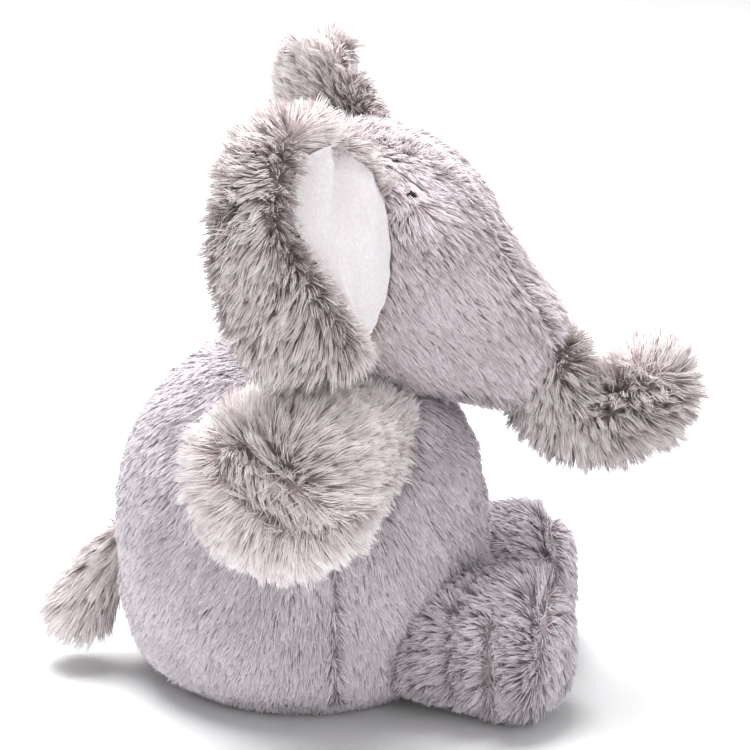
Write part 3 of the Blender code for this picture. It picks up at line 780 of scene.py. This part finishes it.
def grow(body, skin, seams, panel_trees, obstacles):
    """Strands for one body as arrays: points along each, its skin normal, its shade and its panel."""
    kind = body.split("_")[0]
    density = DENSITIES[kind] * 1
    per_clump = max(2, int(density * CLUMP_AREAS.get(kind, CLUMP_AREA)))
    p, n, panel = choose_roots(body, skin, panel_trees, density)
    count = len(p)
    flow, lean, length_share = lie_of(body, p, n, panel, seams)

    # Clumps: the strands nearest one chosen strand share its random turn, and their tips lean to its tip
    chosen = rng.choice(count, count // per_clump, replace=False)
    tree = kd_of(p[chosen])
    clump = chosen[np.array([tree.find(Vector(q))[1] for q in p])]
    swirl = np.column_stack([waves(p, SWIRL_SIZE, seed) for seed in SWIRL_SEEDS])
    tuft = rng.normal(size=(count, 3))[clump]
    tufting = TUFTING.get(kind, TUFTING_ELSEWHERE)
    flow = flow + 0.20 * swirl + 0.22 * tufting * tuft + 0.10 * rng.normal(size=(count, 3))
    flow = flow - n * dot(flow, n)
    lean = np.clip(lean + 0.10 * waves(p, LEAN_SIZE, LEAN_SEED), 0.05, 0.85)[:, None]

    # Lengths: shorter near the floor, a little uneven, and cut where another body is in the way
    length = LENGTHS[kind] * LENGTH_SHARES.get(body, 1) * MM * length_share
    length *= 1 - SHORT_BY_FLOOR * smooth_step(p[:, 2], *SHORT_HEIGHTS)
    length = length * (1 + 0.14 * tufting * rng.normal(size=count)[clump] + 0.08 * rng.normal(size=count))
    length = np.clip(length, SHORTEST, LONGEST)
    start = unit(n * (1 - 0.6 * lean) + flow * lean)
    end = unit(n * (1 - lean) + flow * (0.5 + lean) + SAG)
    reach = np.array([obstacles.ray_cast(Vector(q), Vector(d), LONGEST)[3] or LONGEST
                      for q, d in zip(p + n * 0.4 * MM, start)])
    length = np.minimum(length, np.maximum(0.9 * reach, SHORTEST_CUT))

    points = np.empty((count, len(ROWS), 3))
    pull = tufting * rng.uniform(0.25, 0.7, count)[:, None]
    leads = (length[clump] > 0.7 * length)[:, None]
    for k, s in enumerate(ROWS):
        own = p + length[:, None] * (start * (s - 0.5 * s * s) + end * (0.5 * s * s))
        points[:, k] = own + (own[clump] - own) * pull * leads * s ** 1.6
    points[:, :, 2] = np.maximum(points[:, :, 2], FLOOR_CLEARANCE)

    light = 0.5 + 0.28 * waves(p, SHADE_SIZE, SHADE_SEED)
    light += 0.22 * rng.normal(size=count)[clump]
    light += 0.22 * rng.normal(size=count)
    shade = np.clip((light * SHADES).astype(int), 0, SHADES - 1)
    return points, n, shade, panel


def strand_mesh(name, points, n, shade, slots):
    """Each strand is a thin blade with its flat side out: two quads and a pointed end."""
    count, rows = points.shape[:2]
    along = unit(points[:, -1] - points[:, 0])
    across = unit(np.cross(along, n))
    roll = rng.normal(scale=0.6, size=count)[:, None]
    face = np.cross(across, along)
    across = across * np.cos(roll) + face * np.sin(roll)
    face = np.cross(across, along)
    width = ROOT_WIDTH * rng.uniform(0.75, 1.25, count)[:, None]
    per = 2 * (rows - 1) + 1
    co = np.empty((count, per, 3))
    normal = np.empty((count, per, 3))
    bent = unit(0.65 * n + 0.45 * face)
    for k in range(rows - 1):
        half = across * width * ROW_WIDTHS[k] / 2
        co[:, 2 * k] = points[:, k] - half
        co[:, 2 * k + 1] = points[:, k] + half
    co[:, -1] = points[:, -1]
    normal[:] = bent[:, None, :]
    first = (np.arange(count) * per)[:, None]
    quads = [np.array([2 * k, 2 * k + 1, 2 * k + 3, 2 * k + 2]) + first for k in range(rows - 2)]
    tip = np.array([per - 3, per - 2, per - 1]) + first
    loops = np.concatenate(quads + [tip], axis=1).ravel()
    sizes = np.tile(np.array([4] * (rows - 2) + [3]), count)
    mesh = bpy.data.meshes.new(name)
    mesh.vertices.add(count * per)
    mesh.vertices.foreach_set("co", co.ravel())
    mesh.loops.add(len(loops))
    mesh.loops.foreach_set("vertex_index", loops.astype(np.int32))
    mesh.polygons.add(len(sizes))
    starts = np.concatenate([[0], np.cumsum(sizes)[:-1]])
    mesh.polygons.foreach_set("loop_start", starts.astype(np.int32))
    # The first row of each strand takes the painted-shade root colour
    slot = (shade[:, None] * 3 + np.arange(rows - 1)[None, :]).ravel()
    mesh.polygons.foreach_set("material_index", slot.astype(np.int32))
    mesh.polygons.foreach_set("use_smooth", np.ones(len(sizes), bool))
    for material in slots:
        mesh.materials.append(material)
    mesh.update(calc_edges=True)
    mesh.normals_split_custom_set_from_vertices(normal.reshape(-1, 3))
    return new_object(name, mesh)


def pins_of(obj, seams, neighbours):
    """How firmly the puffing holds each vertex: fully near other bodies and the floor, softly by seams."""
    seam_tree = kd_of(seams) if len(seams) else None
    pins = []
    for vertex in obj.data.vertices:
        weight = 0.0
        if seam_tree is not None:
            weight = float(np.exp(-(seam_tree.find(vertex.co)[2] / PIN_BY_SEAM) ** 2))
        if any(tree.find_nearest(vertex.co, PIN_BY_NEIGHBOUR)[0] is not None for tree in neighbours):
            weight = 1.0
        if vertex.co.z < PIN_BY_FLOOR:
            weight = 1.0
        pins.append(weight)
    return pins


def build_skins():
    """One puffed skin for each body, with its seams and a search tree for each of its panels."""
    made = {}
    for body, nodes in SKINS.items():
        voxel = THIN_VOXEL if body.startswith("ear") or body == "tail" else VOXEL
        made[body] = skin_form(f"{body}_outer_skin", nodes + INSIDES[body], voxel)
    seams = {}
    panels = {}
    for body, nodes in SKINS.items():
        seams[body], panels[body] = seam_points(nodes)
        seams[body].extend(creases(body))
    objects = []
    trees = {body: tree_of(obj.data) for body, obj in made.items()}
    for body, obj in made.items():
        neighbours = [tree for name, tree in trees.items() if name != body]
        objects.append((obj, pins_of(obj, seams[body], neighbours)))
    puff(objects)
    for body, obj in made.items():
        finish_skin(obj, body, seams[body])
        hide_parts(*SKINS[body], *INSIDES[body])
        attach(obj, body)
    return made, seams, panels


def build_fur(skins, seams, panels):
    """Each body's strands, as one mesh or a few for each panel."""
    for body, skin in skins.items():
        others = [obj.data for name, obj in skins.items() if name != body]
        points, n, shade, panel = grow(body, skin, seams[body], panels[body], tree_of(*others))
        slots = FUR_SLOTS[TONES.get(body.split("_")[0], "warm")]
        for k, node in enumerate(SKINS[body]):
            mine = np.nonzero(panel == k)[0]
            bunches = int(np.ceil(len(mine) / MOST_IN_PIECE))
            for number in range(bunches):
                part = mine[number::bunches]
                name = f"{node}_fur" if bunches == 1 else f"{node}_fur_{number + 1}"
                obj = strand_mesh(name, points[part], n[part], shade[part], slots)
                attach(obj, body)


# Lining

def build_lining(side, skin):
    """The smooth face of the ear: a sheet that fills its edge, with one fold down its middle."""
    body = f"ear_{side}"
    axes = ear_axes(body)
    front = axes[2]
    face = tree_of(skin.data)
    edge = smooth_loop(LINING_EDGE) * MM
    heart = edge.mean(0)
    fold = stretch_of(LINING_FOLD) * MM
    bm = bmesh.new()
    rings = []
    for ring in range(1, LINING_RINGS + 1):
        share = LINING_REACH * ring / LINING_RINGS
        places = heart + (edge - heart) * share
        rings.append([bm.verts.new(lining_point(face, axes, place, fold)) for place in places])
    hub = bm.verts.new(lining_point(face, axes, heart, fold))
    count = len(edge)
    for k in range(count):
        after = (k + 1) % count
        bm.faces.new((hub, rings[0][k], rings[0][after]))
        for inner, outer in zip(rings, rings[1:]):
            bm.faces.new((inner[k], outer[k], outer[after], inner[after]))
    bm.normal_update()
    if np.dot(np.array(next(iter(bm.faces)).normal), front) < 0:
        bmesh.ops.reverse_faces(bm, faces=bm.faces)
    mesh = bpy.data.meshes.new(f"{body}_lining_sheet")
    bm.to_mesh(mesh)
    bm.free()
    mesh.polygons.foreach_set("use_smooth", np.ones(len(mesh.polygons), bool))
    mesh.materials.append(LINING_CLOTH)
    obj = new_object(f"{body}_lining_sheet", mesh)
    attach(obj, body)


def lining_point(face, axes, flat, fold):
    """A point of the lining: just off the skin's front face, with a raised flap on one side of the fold.

    A place past the skin's edge is drawn in until it is over the skin."""
    centre, x, front, z = axes
    hit = None
    for pull in np.linspace(1, 0.5, 26):
        aim = centre + x * flat[0] * pull + z * flat[1] * pull
        hit = face.ray_cast(Vector(aim + front * 30 * MM), Vector(-front), 42 * MM)[0]
        if hit is not None:
            break
    point = np.array(hit if hit is not None else aim)
    nearest = fold[np.argmin(np.linalg.norm(fold - flat, axis=1))]
    beside = flat[0] - nearest[0]
    up = smooth_step(flat[1], -34 * MM, 6 * MM)
    flap = smooth_step(beside, -2.0 * MM, 0.5 * MM) * (1 - 0.5 * smooth_step(beside, 4 * MM, 16 * MM))
    ripple = LINING_RIPPLE * float(waves(point[None, :], LINING_RIPPLE_SIZE, LINING_SEED)[0])
    return Vector(point + front * (LINING_LIFT + LINING_FLAP * flap * up + ripple))


# Eyes

def build_eye(side):
    """A glossy bead with a flatter back, facing along the line from its washer to its middle."""
    centre = Vector(middle(f"eye_{side}"))
    axis = (centre - Vector(middle(f"eye_washer_{side}"))).normalized()
    bm = bmesh.new()
    around, over = EYE_SEGMENTS
    bmesh.ops.create_uvsphere(bm, u_segments=around, v_segments=over, radius=EYE_RADIUS)
    turn = Vector((0, 0, 1)).rotation_difference(axis).to_matrix().to_4x4()
    for vertex in bm.verts:
        if vertex.co.z < 0:
            vertex.co.z *= EYE_BACK_FLATNESS
        vertex.co.z *= EYE_FLATNESS
    bmesh.ops.transform(bm, matrix=turn, verts=bm.verts)
    bmesh.ops.translate(bm, vec=centre + axis * EYE_STANDS_OUT, verts=bm.verts)
    mesh = bpy.data.meshes.new(f"eye_{side}_bead")
    bm.to_mesh(mesh)
    bm.free()
    mesh.polygons.foreach_set("use_smooth", np.ones(len(mesh.polygons), bool))
    obj = new_object(f"eye_{side}_bead", mesh)
    mesh.materials.append(EYE_GLOSS)
    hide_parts(f"eye_{side}")
    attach(obj, "head")
    washer = frame["nodes"][f"eye_washer_{side}"]
    washer.data.materials.clear()
    washer.data.materials.append(WASHER_PLASTIC)


# The room

def build_room():
    """The camera, a pale floor, white surroundings and two soft lights."""
    camera = bpy.data.cameras.new("camera")
    camera.lens = CAMERA_LENS
    camera.sensor_width = CAMERA_SENSOR
    camera.clip_start, camera.clip_end = CAMERA_CLIP
    rig = bpy.data.objects.new("camera", camera)
    scene.collection.objects.link(rig)
    towards = Vector((sin(CAMERA_AZIMUTH) * cos(CAMERA_ELEVATION),
                      -cos(CAMERA_AZIMUTH) * cos(CAMERA_ELEVATION), sin(CAMERA_ELEVATION)))
    rig.location = CAMERA_AIM + towards * CAMERA_DISTANCE
    rig.rotation_euler = towards.to_track_quat("Z", "Y").to_euler()
    scene.camera = rig
    bm = bmesh.new()
    signs = ((-1, -1), (1, -1), (1, 1), (-1, 1))
    bm.faces.new([bm.verts.new((x * FLOOR_HALF, y * FLOOR_HALF, 0)) for x, y in signs])
    mesh = bpy.data.meshes.new("floor")
    bm.to_mesh(mesh)
    bm.free()
    floor = new_object("floor", mesh)
    mesh.materials.append(plain("floor_paper", FLOOR_COLOUR, roughness=0.9, sheen=0))
    world = bpy.data.worlds.new("studio")
    world.use_nodes = True
    world.node_tree.nodes["Background"].inputs["Color"].default_value = (1, 1, 1, 1)
    world.node_tree.nodes["Background"].inputs["Strength"].default_value = WORLD_STRENGTH
    scene.world = world
    for name, (place, size, power) in LIGHTS.items():
        add_light(name, Vector(place), size, power)
    scene.view_settings.view_transform = "Standard"


def add_light(name, place, size, power):
    """A round soft light that is aimed at the toy."""
    light = bpy.data.lights.new(name, "AREA")
    light.shape = "DISK"
    light.size = size
    light.energy = power
    obj = bpy.data.objects.new(name, light)
    scene.collection.objects.link(obj)
    obj.location = place
    obj.rotation_euler = (place - CAMERA_AIM).to_track_quat("Z", "Y").to_euler()


build_room()
skins, seams, panels = build_skins()
build_fur(skins, seams, panels)
for side in ("right", "left"):
    build_lining(side, skins[f"ear_{side}"])
    build_eye(side)
